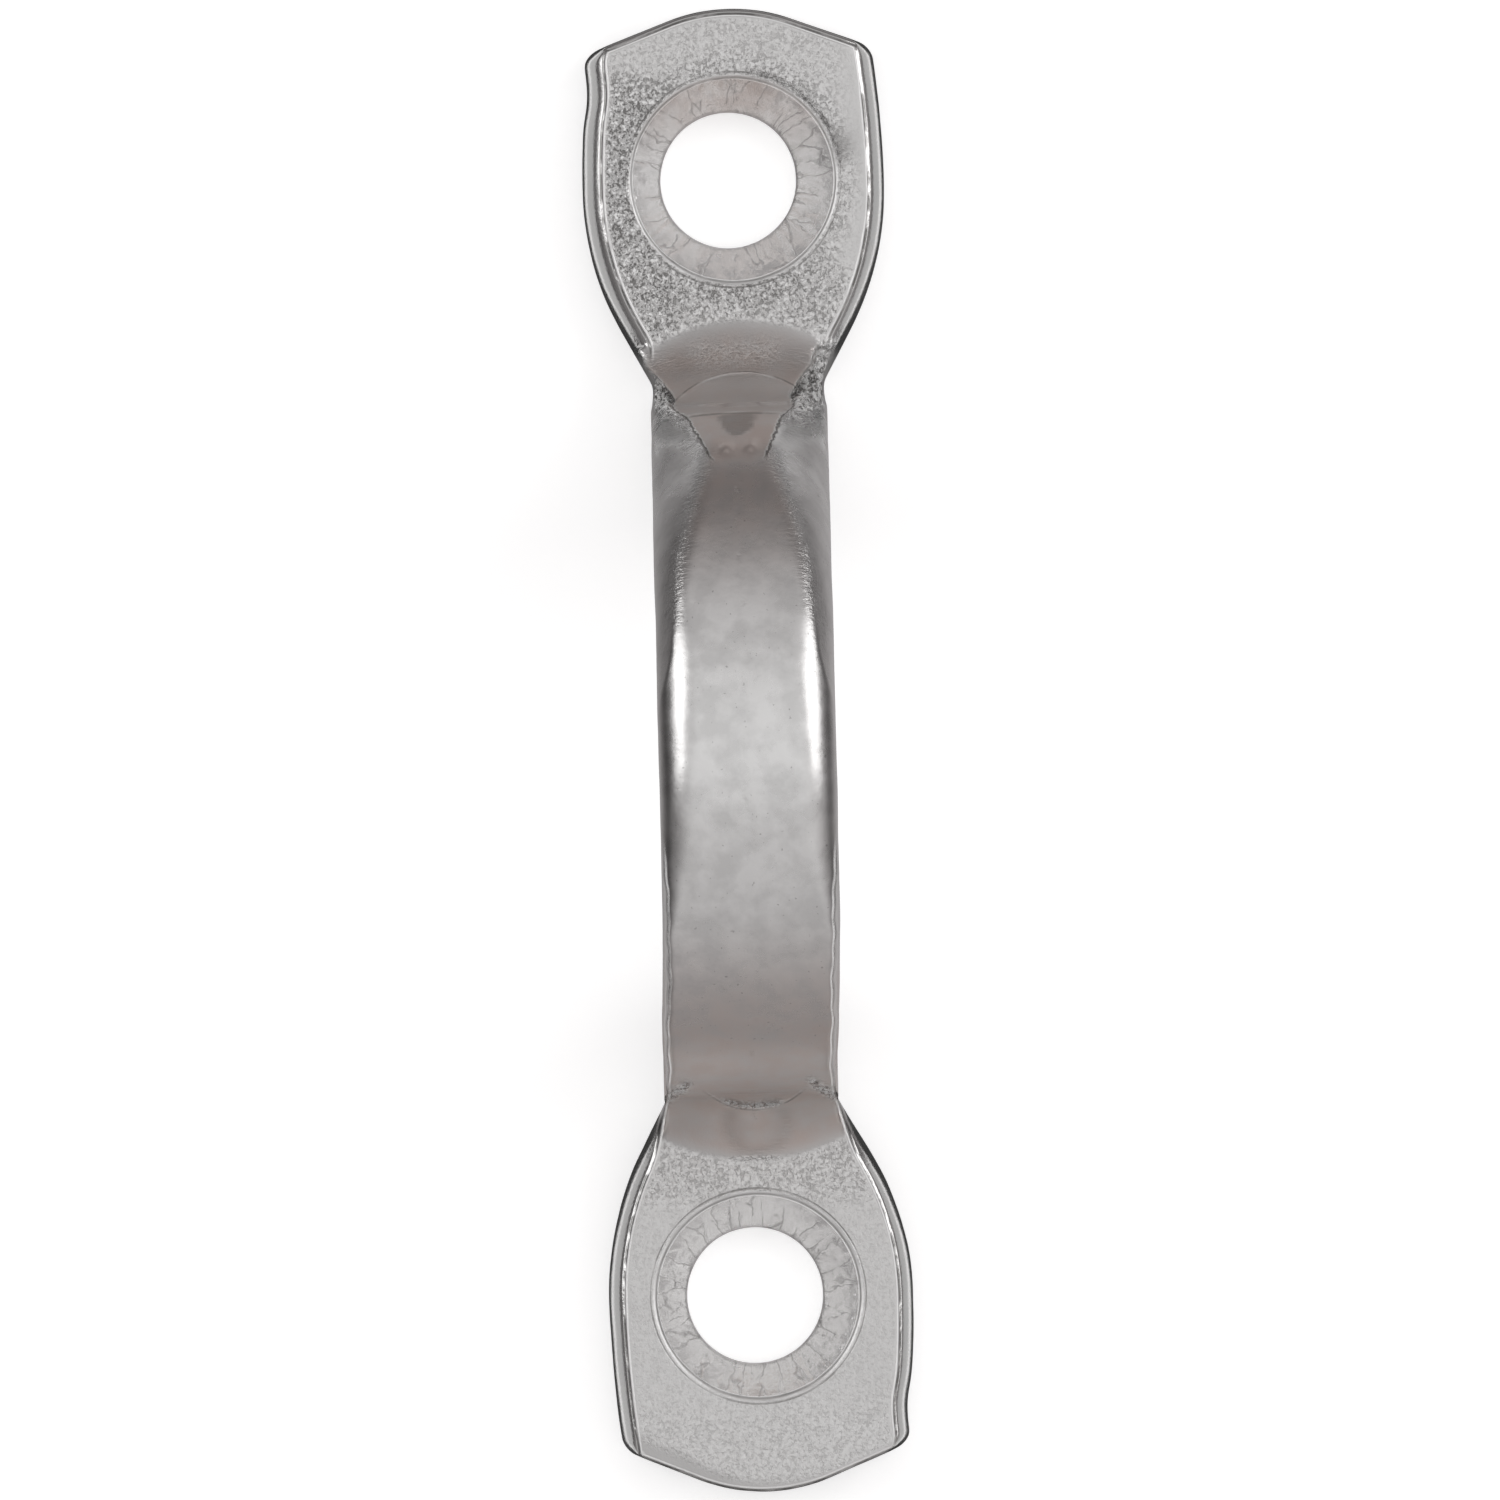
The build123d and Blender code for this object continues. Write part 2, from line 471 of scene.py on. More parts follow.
# ------------------------------------------------------------------ surface detail in the mesh
def lattice_noise(points, cell, seed):
    """Smooth noise from -1 to 1 with bumps about one cell across."""
    size = 64
    lattice = np.random.default_rng(seed).random((size, size, size)) * 2 - 1
    place = points / cell
    base = np.floor(place).astype(int)
    part = place - base
    part = part * part * (3 - 2 * part)
    total = np.zeros(len(points))
    for corner in np.ndindex(2, 2, 2):
        index = (base + corner) % size
        weight = np.prod(np.where(corner, part, 1 - part), axis=1)
        total += weight * lattice[tuple(index.T)]
    return total


def flash_mask(points):
    """1 in the inner corners where the press left rough flash beside each root."""
    x, y, z = points.T
    middle = np.where(y > 0, 0.36, 0.6)
    reach = np.where(y > 0, 0.36, 0.62)
    front = np.exp(-((mark_across(x, y) - middle) / reach) ** 4)
    front = front * ease(x, 12.6, 14.3) * ease(x, 16.7, 16.1)
    off = np.abs(y - 0.25)
    slanting = (off - 2.5 + 1.5 * (x + 13.4)) / 1.8
    back = bell(slanting, 0, 0.22) * ease(off, 2.1, 2.6) * ease(x, -12.9, -13.4)
    back = back * ease(np.abs(y - bar_middle(x)), 3.5, 3.3)
    return np.maximum(front, 0.8 * back) * above_pads(z, -0.4, 0.1)


def groove_mask(points):
    """1 along the thin gap between the +X tongue and the flash beside it."""
    x, y, z = points.T
    along = ease(x, 13.2, 13.5) * ease(x, TONGUE_FOOT, 15.6)
    return bell(mark_across(x, y), 0.03, 0.1) * along * above_pads(z, 0, 0.3)


def tongue_burr(points):
    """1 along the ragged upper edges of the +X tongue."""
    x, y, _ = points.T
    return bell(mark_across(x, y), 0.02, 0.1) * ease(x, 11.5, 11.8) * ease(x, 13.6, 13.2)


def roughened(points):
    """Press texture, flash and small waviness, moved into the mesh itself."""
    slope = gradient(points)
    normal = slope / np.linalg.norm(slope, axis=1, keepdims=True)
    wave = 0.016 * lattice_noise(points, 1.7, 11) + 0.005 * lattice_noise(points, 0.7, 12)
    coarse = lattice_noise(points, 0.32, 13)
    fine = lattice_noise(points, 0.2, 14)
    flash = flash_mask(points) * (0.05 + 0.15 * coarse + 0.11 * fine)
    groove = -0.13 * groove_mask(points) * (0.8 + 0.5 * coarse)
    burr = tongue_burr(points) * (0.02 + 0.05 * fine)
    pitted = 0.006 * pit_zone(points) * fine
    deck = ease(points[:, 2], 0.05, 0.6)
    return points + normal * ((wave + flash + groove + burr + pitted) * deck)[:, None]


# ------------------------------------------------------------------ finish zones and painted shade at each vertex
def sink_distance(points, end):
    """Distance from the middle of one end's countersink, in plan."""
    return np.hypot(points[:, 0] - hole_x(end), points[:, 1] - PADS[end]["sink_y"])


def root_depth(x, y, end):
    """How far a point lies past the start of the root's hollow; less than 0 in the hollow."""
    return x * end - hollow_start(y, end)


def tongue_zone(points):
    x, y, z = points.T
    return ease(x, 11.4, 11.8) * ease(mark_across(x, y), 0.08, -0.08) * above_pads(z, -0.1, 0.1)


def tongue_edge_zone(points):
    """1 where the gap beside the tongue is open."""
    x, _, z = points.T
    return ease(x, 11.5, 11.9) * ease(x, 16.6, 16.0) * above_pads(z, 0.1, 0.3)


def mark_fade(points):
    """1 where a die mark's outline is sharp, 0 where the mark runs out up the -X leg."""
    x = points[:, 0]
    return np.where(x > 0, 1, ease(x, -13.6, -13.9))


def polish_zone(points):
    """The bow is polished; pads and roots are as the press left them."""
    x, _, z = points.T
    legs = ease(np.abs(x), 15.2, 14.4) * ease(z, 2.5, 4.0)
    return legs * (1 - tongue_zone(points)) * (1 - 0.9 * ease(x, -10.5, -13.2))


def pit_zone(points):
    """Scale and pitting: heavy on the +X pad, above all its +Y side, and light on the -X pad."""
    x, y, z = points.T
    top = above_pads(z, -0.12, -0.02) * above_pads(z, 0.5, 0.1)
    front = 0.28 + 0.66 * ease(y, 1.8, 4.2) * ease(x, 28.0, 26.5)
    front = front + 0.35 * ease(x, 20.0, 18.6) + 0.25 * bell(sink_distance(points, 1), 4.6, 0.5)
    front = front - 0.2 * ease(y, -3.8, -5.0)
    back = 0.15 + 0.25 * ease(x, -18.8, -17.6) + 0.1 * ease(x, -25.5, -27.5)
    past = ease(np.where(x > 0, root_depth(x, y, 1), root_depth(x, y, -1)), -0.25, 0.25)
    worn = 0.4 * bell(x, 16.0, 0.6) * ease(np.abs(y - 0.1), 2.4, 1.2)
    return np.clip(np.clip(np.where(x > 0, front, back), 0, 1) * top * past + worn, 0, 1)


def upper_zone(points):
    """1 on everything that shows from above, 0 on the deck face and inside the eye."""
    x, _, z = points.T
    arch = np.hypot(x - BOW_X, np.maximum(z - BOW_Z, 0))
    on_pads = ease(z, 1.0, 1.5) * ease(np.abs(x), 14.6, 15.0)
    return np.maximum(on_pads, ease(arch, BOW_OUTER - 1.4, BOW_OUTER - 0.7))


def crease_distance(points):
    """Distance outside the sharp upper edge of the pads and the -X leg, in plan."""
    x, y, z = points.T
    bow_edge = np.abs(y - bar_middle(x)) - BAR_HALF
    bow_edge = bow_edge + edge_waver(x) + bar_swell(BOW_OUTER, bow_angle(x, z))
    nearest = bow_edge
    for end, pad in PADS.items():
        ax = x * end
        side = pad_side(ax, y, end) + side_sag(ax, y, end)
        pad_edge = np.maximum(side, pad_end(ax, y, end) + 0.8 * pad["end_round"])
        nearest = np.where(ax > 13, np.minimum(pad_edge, bow_edge), nearest)
        nearest = np.where(ax > ROLL_FULL, pad_edge, nearest)
    return nearest


def trim_zone(points):
    """1 where the upper edge is sharp: all along the pads and the -X leg."""
    x = points[:, 0]
    return upper_zone(points) * np.maximum(ease(x, -3.4, -4.6), ease(x, 15.7, 16.4))


def patch_zone(points):
    """The rough dark spot in the middle of the tongue, with uneven sides."""
    uneven = points + 0.09 * lattice_noise(points, 0.35, 15)[:, None]
    x, y, _ = uneven.T
    half = 0.72 * np.sqrt(np.clip((x - 12.55) / 0.7, 0, 1))
    return ease(np.abs(y - 0.1) - half, 0.06, -0.1) * ease(x, 13.62, 13.5)


def ridge_place(points):
    """How far a point on the +X leg lies outside its ridge strip, and where that strip counts."""
    x, y, z = points.T
    angle = bow_angle(x, z)
    across = np.abs(y - bar_middle(x)) - ridge_half(angle)
    return across, ease(angle, 12, 24) * ease(angle, 72, 60) * ease(x, 12.6, 11.8)


def foot_line(x, y, centre, width, fade):
    """A curved mark across the foot of the -X leg."""
    return bell(x, centre + 0.12 * y ** 2, width) * ease(np.abs(y - 0.2), 1.5, fade)


def chipped_rim(points, radius, width):
    """The chipped stretch of the +X countersink's rim."""
    x, y, _ = points.T
    near = ease(np.hypot(x - CHIPPED_RIM[0], y - CHIPPED_RIM[1]), 3.2, 2.0)
    return bell(sink_distance(points, 1), radius, width) * near


def ragged_zone(points):
    """Torn metal, which carries painted glints: the flash, the marks at the foot of the -X leg and the
    chipped rim.
    """
    x, y, _ = points.T
    foot = foot_line(x, y, -14.35, 0.15, 0.9)
    foot = foot + 0.7 * bell(x, -16.5, 0.08) * ease(np.abs(y - 0.1), 1.4, 0.5)
    chips = chipped_rim(points, SINK_RADIUS + 0.2, 0.13)
    return np.clip(np.maximum(flash_mask(points), 0.8 * foot) + 0.7 * chips, 0, 1)


def stain_zone(points):
    """Warm dark tint in the roots, on the -X leg, on the +X leg's ridge and round one rim."""
    x, y, z = points.T
    front_root = ease(root_depth(x, y, 1), 0.0, -1.1) * tongue_zone(points)
    back_root = ease(root_depth(x, y, -1), 0.1, -0.7) * ease(x, -13.1, -13.6)
    front_root = front_root * (0.9 - 0.35 * ease(crescent(x, y), 0, 0.12))
    roots = 0.85 * np.maximum(front_root, back_root) * above_pads(z, -0.1, 0.1)
    outside, _ = ridge_place(points)
    ridge = bell(x, 10.2, 2.6) * ease(outside, 0.3, -0.3)
    leg = 0.75 * (ease(x, -6, -12) + ridge) * ease(z, 4, 6) * (1 - front_root) * (1 - back_root)
    rim = 0.7 * ease(sink_distance(points, 1), 4.3, 4.0) * ease(x, 23.5, 27)
    return np.clip(roots + leg + rim, 0, 1)


def patches_and_shade_zone(points):
    """Dark marks: the spot on the tongue, a patch on the +X pad and the chips; and painted shade in the
    marks, the -X inner corners, the hollow, beside the tongue and along the ridge.
    """
    x, y, z = points.T
    spot = 0.6 * patch_zone(points)
    side_patch = 0.5 * bell(np.hypot(x - 24.3, (y + 4.5) * 1.5), 0, 0.7)
    chips = 0.3 * chipped_rim(points, SINK_RADIUS + 0.22, 0.12)
    ring = 0.22 * bell(np.hypot(x - SWELLING_X - 0.05, y), 1.2, 0.32) * ease(x, -14.3, -14.7)
    foot = 0.7 * foot_line(x, y, -14.33, 0.16, 0.8)
    # Painted shade: the -X inner corners, the hollow, the tongue's cheeks and the line along the ridge are
    # darkened in colour.
    corners = 0.45 * flash_mask(points) * ease(x, -12, -13)
    hollow = 0.27 * bell(x, 15.5, 0.65) * tongue_zone(points)
    cheeks = 0.4 * bell(x, 13.0, 0.6) * ease(mark_across(x, y), 0.1, 0.5)
    outside, along = ridge_place(points)
    shadow = 0.3 * bell(outside, 0.1, 0.42) * along
    marks = spot + side_patch + chips + ring + foot + corners + shadow + hollow + cheeks
    return np.clip(marks * above_pads(z, -0.2, -0.05), 0, 1)


def sink_place(points):
    """Where a point lies round the nearer countersink: X and Z go round a ring, one ring for each hole,
    and Y is the distance out from the countersink's middle."""
    front = points[:, 0] > 0
    along = points[:, 0] - np.where(front, hole_x(1), hole_x(-1))
    across = points[:, 1] - np.where(front, PADS[1]["sink_y"], PADS[-1]["sink_y"])
    away = np.hypot(along, across)
    shrink = 3.4 / np.maximum(away, 0.1)
    return np.stack([along * shrink + 20.0 * front, away, across * shrink], axis=1)


def finish_and_shade_zones(points):
    """What the steel reads at each vertex: zones from 0 to 1, and distances and places in millimetres."""
    x, y, _ = points.T
    return {"polish": polish_zone(points), "pits": pit_zone(points), "upper": upper_zone(points),
            "stain": stain_zone(points), "sink": sink_place(points), "ragged": ragged_zone(points),
            "crease": crease_distance(points), "trim": trim_zone(points), "die_mark": crescent(x, y),
            "patches_and_shade": patches_and_shade_zone(points), "tongue": mark_across(x, y), "tongue_edge": tongue_edge_zone(points),
            "mark_fade": mark_fade(points)}


def make_piece(name, points, quads, zones):
    mesh = bpy.data.meshes.new(name)
    mesh.from_pydata((points * MM).tolist(), [], quads.tolist())
    mesh.shade_smooth()
    for zone, values in zones.items():
        kind, field_name = ("FLOAT", "value") if values.ndim == 1 else ("FLOAT_VECTOR", "vector")
        layer = mesh.attributes.new(zone, kind, "POINT")
        layer.data.foreach_set(field_name, values.astype(np.float32).ravel())
    piece = bpy.data.objects.new(name, mesh)
    bpy.context.scene.collection.objects.link(piece)
    return piece


# ------------------------------------------------------------------ shader graphs
class Graph:
    """A node tree that takes values or other nodes' outputs for its inputs."""

    def __init__(self, tree):
        self.nodes = tree.nodes
        self.links = tree.links

    def feed(self, node, inputs):
        for socket, value in inputs.items():
            if isinstance(value, bpy.types.NodeSocket):
                self.links.new(value, node.inputs[socket])
            else:
                node.inputs[socket].default_value = value
        return node

    def add(self, kind, inputs, **settings):
        node = self.nodes.new("ShaderNode" + kind)
        for name, value in settings.items():
            setattr(node, name, value)
        return self.feed(node, inputs)

    def math(self, operation, *values):
        return self.add("Math", dict(enumerate(values)), operation=operation).outputs[0]

    def fold(self, operation, values):
        total = values[0]
        for value in values[1:]:
            total = self.math(operation, total, value)
        return total

    def times(self, *values):
        return self.fold("MULTIPLY", values)

    def plus(self, *values):
        return self.fold("ADD", values)

    def largest(self, *values):
        return self.fold("MAXIMUM", values)

    def minus(self, value, less):
        return self.math("SUBTRACT", value, less)

    def spread(self, value, low, high, to_low=0.0, to_high=1.0):
        inputs = {"Value": value, "From Min": low, "From Max": high, "To Min": to_low, "To Max": to_high}
        return self.add("MapRange", inputs).outputs[0]

    def line_at(self, distance, centre, half_width):
        """1 along a hairline at a given distance, fading out over its half width."""
        off = self.math("ABSOLUTE", self.minus(distance, centre))
        return self.spread(off, half_width, 0.3 * half_width)

    def noise(self, place, per_mm, detail=2.0, roughness=0.5, distortion=0.0):
        inputs = {"Vector": place, "Scale": per_mm / MM, "Detail": detail, "Roughness": roughness,
                  "Distortion": distortion}
        return self.add("TexNoise", inputs).outputs["Fac"]

    def scaled(self, place, factors):
        return self.add("Mapping", {"Vector": place, "Scale": factors}).outputs[0]

    def zone(self, name, output="Fac"):
        return self.add("Attribute", {}, attribute_name=name).outputs[output]

    def blend(self, amount, low, high):
        mix = self.add("Mix", {0: amount, 6: low, 7: high}, data_type="RGBA")
        return mix.outputs[2]


# ------------------------------------------------------------------ stainless steel
FORGED_STEEL = (0.68, 0.675, 0.67, 1)
CUT_STEEL = (0.92, 0.915, 0.91, 1)
# Colour of the painted highlights
PAINTED_HIGHLIGHT_STEEL = (0.97, 0.97, 0.965, 1)
# Colour of the dark pits and of the painted shade
PIT_AND_SHADE_STEEL = (0.13, 0.125, 0.12, 1)
STAINED_STEEL = (0.67, 0.58, 0.54, 1)
RELIEF = 0.02                    # height in millimetres that a bump value of 1 stands for
ALONG_BOW = (0.09, 1.0, 0.09)    # these factors draw noise out along the bow
ACROSS_BOW = (1.0, 0.25, 1.0)    # and these draw it out across the bow
RADIAL = (1.2, 0.3, 1.2)         # and these, on a countersink's ring, outwards from its middle


class Steel(Graph):
    """Stainless steel as pressed, cut and polished. A mark is 1 where it shows and 0 elsewhere."""

    def __init__(self, tree):
        super().__init__(tree)
        self.place = self.add("TexCoord", {}).outputs["Object"]
        self.clouds = self.noise(self.place, 0.45, 4.0, 0.6)
        self.mottle = self.noise(self.place, 0.9, 3.0, 0.55)
        self.uneven = self.spread(self.clouds, 0.35, 0.55, 0.4, 1.0)
        self.broken = self.spread(self.mottle, 0.35, 0.55)
        self.upper = self.zone("upper")
        self.polish = self.zone("polish")
        self.ragged = self.zone("ragged")
        self.patches_and_shade = self.zone("patches_and_shade")
        self.crease = self.zone("crease")
        self.ring = self.zone("sink", "Vector")
        self.away = self.add("SeparateXYZ", {"Vector": self.ring}).outputs["Y"]
        self.cone = self.times(self.upper, self.spread(self.away, SINK_RADIUS - 0.06, SINK_RADIUS - 0.14))
        self.add_scale()
        self.add_torn_metal()
        self.add_rims()
        self.add_edges()
        self.add_die_marks()
        self.add_tongue_gap()
        self.add_cone_marks()

    def add_scale(self):
        """Pressed scale: small sharp pits with raised crumbs between them, clear of cones and edges; the
        crumbs carry a painted highlight.
        """
        area = self.times(self.zone("pits"), self.spread(self.away, SINK_RADIUS, SINK_RADIUS + 0.06),
                          self.spread(self.crease, -0.08, -0.2))
        scale = self.noise(self.place, 7.5, 3.0, 0.6, 0.5)
        self.pits = self.times(self.spread(scale, 0.46, 0.38), area)
        self.crumbs = self.times(self.spread(scale, 0.51, 0.59), area)

    def add_torn_metal(self):
        """Flash and chips: painted glints and painted shade in the holes, in a surface broken up and down.
        """
        torn = self.noise(self.place, 5.0, 3.0, 0.65, 0.6)
        self.painted_glints = self.times(self.spread(torn, 0.48, 0.52), self.ragged)
        self.shaded_holes = self.times(self.spread(torn, 0.46, 0.42), self.ragged)
        self.torn_height = self.times(self.minus(torn, 0.5), self.ragged)

    def add_rims(self):
        """The countersinks' double rim: two dark hairlines of painted shade and a painted highlight
        hairline between them.
        """
        dark = self.largest(self.line_at(self.away, SINK_RADIUS + 0.16, 0.045),
                            self.line_at(self.away, SINK_RADIUS - 0.08, 0.04))
        light = self.line_at(self.away, SINK_RADIUS + 0.04, 0.055)
        self.rim = self.times(dark, self.upper, self.uneven)
        self.rim_highlight = self.times(light, self.upper, self.spread(self.mottle, 0.4, 0.6))

    def add_edges(self):
        """The sharp upper edges: a painted highlight hairline, a dark hairline of painted shade just
        outside it and the flank below.
        """
        trim = self.zone("trim")
        self.flank = self.times(trim, self.spread(self.crease, 0.0, 0.06))
        self.edge_highlight = self.times(self.line_at(self.crease, -0.04, 0.055), trim, self.uneven)
        self.edge_shade = self.times(self.line_at(self.crease, 0.06, 0.06), trim, self.broken)

    def add_die_marks(self):
        """The shallow marks at the roots: an outline of painted shade, a painted highlight inside it and a
        sunk floor.
        """
        inside = self.zone("die_mark")
        sharp = self.times(self.upper, self.zone("mark_fade"))
        light = self.line_at(inside, 0.04, 0.05)
        self.mark_shade_line = self.times(self.line_at(inside, -0.03, 0.05), sharp, self.broken)
        self.mark_highlight = self.times(light, sharp, self.spread(self.mottle, 0.6, 0.35))
        self.mark_floor = self.times(self.spread(inside, -0.03, 0.03), sharp)

    def add_tongue_gap(self):
        """The jagged gap along both sides of the +X tongue, darkened with painted shade, with a painted
        highlight on its inner edge.
        """
        near = self.zone("tongue_edge")
        jagged = self.plus(self.zone("tongue"), self.times(self.noise(self.place, 3.5, 3.0, 0.6), 0.3))
        self.gap = self.times(self.line_at(jagged, 0.18, 0.07), near)
        self.gap_highlight = self.times(self.line_at(jagged, 0.1, 0.05), near)

    def add_cone_marks(self):
        """The countersinks: cracks that run outwards, darkened with painted shade, and shallow facets."""
        wander = self.add("TexNoise", {"Vector": self.ring, "Scale": 1.6, "Detail": 3.0}).outputs["Color"]
        centred = self.add("VectorMath", {0: wander, 1: (0.5, 0.5, 0.5)}, operation="SUBTRACT").outputs[0]
        strayed = self.add("VectorMath", {0: centred, 1: (0.45, 0.4, 0.45), 2: self.ring},
                           operation="MULTIPLY_ADD").outputs[0]
        radial = self.scaled(strayed, RADIAL)
        cells = self.add("TexVoronoi", {"Vector": radial, "Scale": 1.0}, feature="DISTANCE_TO_EDGE")
        here = self.add("TexNoise", {"Vector": self.ring, "Scale": 1.5}).outputs["Fac"]
        facets = self.add("TexNoise", {"Vector": radial, "Scale": 1.1}).outputs["Fac"]
        self.crack = self.times(self.spread(cells.outputs["Distance"], 0.035, 0.005), self.cone,
                                self.spread(here, 0.4, 0.52))
        self.facets = self.times(facets, self.cone)

    def relief(self):
        """The normal, from all that is raised less all that is sunk."""
        satin = self.noise(self.place, 9.0, 3.0, 0.6)
        lines = self.noise(self.scaled(self.place, ALONG_BOW), 2.2, 4.0, 0.6)
        tears = self.noise(self.scaled(self.place, ACROSS_BOW), 7.0, 3.0, 0.7)
        grain = self.times(satin, self.spread(self.polish, 0, 1, 0.32, 0.08))
        streaks = self.times(lines, self.polish, 0.12)
        swells = self.times(self.mottle, self.polish, 1.1)
        scratches = self.times(tears, self.patches_and_shade, 9.0)
        raised = self.plus(self.crumbs, self.times(self.torn_height, 22.0), self.times(self.facets, 13.0),
                           self.times(self.edge_highlight, 1.4), grain, streaks, swells)
        sunk = self.plus(self.times(self.pits, 1.6), self.times(self.crack, 0.5), self.rim, self.edge_shade,
                         self.times(self.mark_floor, 1.2), self.times(self.gap, 2.0), scratches)
        inputs = {"Height": self.minus(raised, sunk), "Distance": RELIEF * MM, "Strength": 1.0}
        return self.add("Bump", inputs).outputs[0]

    def colour(self):
        """The steel's own colour, then its tints, then the painted highlights, and the dark marks and
        painted shade over them.
        """
        cloudy = self.times(self.spread(self.mottle, 0.38, 0.62), self.polish, 0.5)
        tint = self.times(self.zone("stain"), self.spread(self.clouds, 0.3, 0.7, 0.7, 1.1),
                          self.spread(self.mottle, 0.3, 0.6, 0.6, 1.0))
        specks = self.times(self.spread(self.noise(self.place, 6.0, 2.0, 0.5), 0.3, 0.26), self.polish)
        # Painted highlights: the edge, rim, mark and gap hairlines, the glints on torn metal and the
        # crumbs' tops.
        bright = self.largest(self.times(self.edge_highlight, 0.9), self.painted_glints,
                              self.times(self.rim_highlight, 0.6), self.times(self.crumbs, 0.9),
                              self.times(self.mark_highlight, 0.6), self.times(self.gap_highlight, 0.6))
        # Dark pits, specks and patches, and painted shade: the holes, cracks, rim, edge, mark and gap
        # lines, and the shade in the patches zone.
        dark = self.largest(self.pits, self.shaded_holes, self.times(self.crack, 0.42), self.times(self.rim, 0.7),
                            self.edge_shade, self.times(self.mark_shade_line, 0.7), self.gap,
                            self.times(self.patches_and_shade, 0.8), self.times(specks, 0.5))
        # The cones take a lighter colour: partly cut metal, partly painted light standing in for light
        # bounced round the cone.
        colour = self.blend(self.cone, FORGED_STEEL, CUT_STEEL)
        colour = self.blend(cloudy, colour, CUT_STEEL)
        colour = self.blend(tint, colour, STAINED_STEEL)
        colour = self.blend(bright, colour, PAINTED_HIGHLIGHT_STEEL)
        return self.blend(self.times(dark, 0.75), colour, PIT_AND_SHADE_STEEL)

    def roughness(self):
        """Satin on the pads; glossier on the bow, in the cones, on the flanks and on torn metal."""
        satin = self.spread(self.clouds, 0.3, 0.7, 0.38, 0.46)
        gloss = self.spread(self.clouds, 0.3, 0.7, 0.24, 0.32)
        plain = self.plus(self.times(satin, self.minus(1.0, self.polish)), self.times(gloss, self.polish))
        sheen = self.largest(self.times(self.cone, 0.18), self.times(self.flank, 0.24),
                             self.times(self.ragged, 0.24))
        return self.minus(plain, sheen)

    def metallic(self):
        """Less than 1 on the painted glints and the crumbs of broken metal, on the painted edge highlight
        and in the cones, so that their light colour shows whatever way they face.
        """
        diffuse_share = self.largest(self.times(self.painted_glints, 0.9), self.times(self.crumbs, 0.3),
                              self.times(self.edge_highlight, 0.7), self.times(self.cone, 0.22))
        return self.minus(1.0, diffuse_share)


def steel_material():
    material = bpy.data.materials.new("stainless_steel")
    material.use_nodes = True
    steel = Steel(material.node_tree)
    steel.feed(material.node_tree.nodes["Principled BSDF"],
               {"Base Color": steel.colour(), "Roughness": steel.roughness(), "Normal": steel.relief(),
                "Metallic": steel.metallic()})
    return material


# ------------------------------------------------------------------ stage, light and camera
def area_light(name, place, target, size, power):
    data = bpy.data.lights.new(name, "AREA")
    data.shape = "RECTANGLE"
    data.size, data.size_y = size
    data.energy = power
    light = bpy.data.objects.new(name, data)
    light.location = place
    light.rotation_euler = (Vector(target) - Vector(place)).to_track_quat("-Z", "Y").to_euler()
    bpy.context.scene.collection.objects.link(light)


# Brightness of the room by height, -1 straight down to 1 straight up, in three directions
TOWARDS_FRONT = [(-1, 0.5), (-0.7, 0.48), (-0.5, 0.42), (-0.36, 0.32), (-0.14, 0.21), (0.17, 0.25),
                 (0.41, 0.4), (0.68, 0.62), (0.85, 0.7), (1, 0.92)]
TOWARDS_BACK = [(-1, 0.45), (-0.75, 0.37), (-0.5, 0.37), (-0.05, 0.42), (0.15, 0.48), (0.32, 0.55),
                (0.6, 0.66), (0.9, 0.71), (1, 0.92)]
TOWARDS_SIDES = [(-1, 0.46), (-0.93, 0.46), (-0.73, 0.34), (-0.5, 0.18), (-0.25, 0.07), (-0.05, 0.12),
                 (0.2, 0.25), (0.4, 0.3), (0.62, 0.45), (0.8, 0.66), (1, 0.92)]


def room_ramp(graph, height, stops):
    ramp = graph.add("ValToRGB", {"Fac": height})
    elements = ramp.color_ramp.elements
    for place, _ in stops[1:-1]:
        elements.new((place + 1) / 2)
    for element, (_, level) in zip(elements, stops):
        warmth = 1 - 0.06 * (1 - level)
        element.color = (level, level * warmth, level * warmth, 1)
    return ramp.outputs["Color"]


def room_light():
    world = bpy.data.worlds.new("studio")
    world.use_nodes = True
    graph = Graph(world.node_tree)
    direction = graph.add("TexCoord", {}).outputs["Generated"]
    parts = graph.add("SeparateXYZ", {"Vector": direction}).outputs
    flat = graph.add("CombineXYZ", {"X": parts["X"], "Y": parts["Y"]}).outputs[0]
    bearing = graph.add("VectorMath", {0: flat}, operation="NORMALIZE").outputs[0]
    across = graph.add("SeparateXYZ", {"Vector": bearing}).outputs
    height = graph.spread(parts["Z"], -1, 1)
    front = room_ramp(graph, height, TOWARDS_FRONT)
    back = room_ramp(graph, height, TOWARDS_BACK)
    sides = room_ramp(graph, height, TOWARDS_SIDES)
    lengthwise = graph.blend(graph.spread(across["X"], -0.4, 0.4), back, front)
    sideways = graph.math("POWER", graph.math("ABSOLUTE", across["Y"]), 2.0)
    evener = graph.spread(parts["Y"], -1, 1, 1.15, 0.62)
    colour = graph.blend(sideways, lengthwise, sides)
    colour = graph.add("VectorMath", {0: colour, 3: evener}, operation="SCALE").outputs[0]
    graph.feed(world.node_tree.nodes["Background"], {"Color": colour})
    bpy.context.scene.world = world


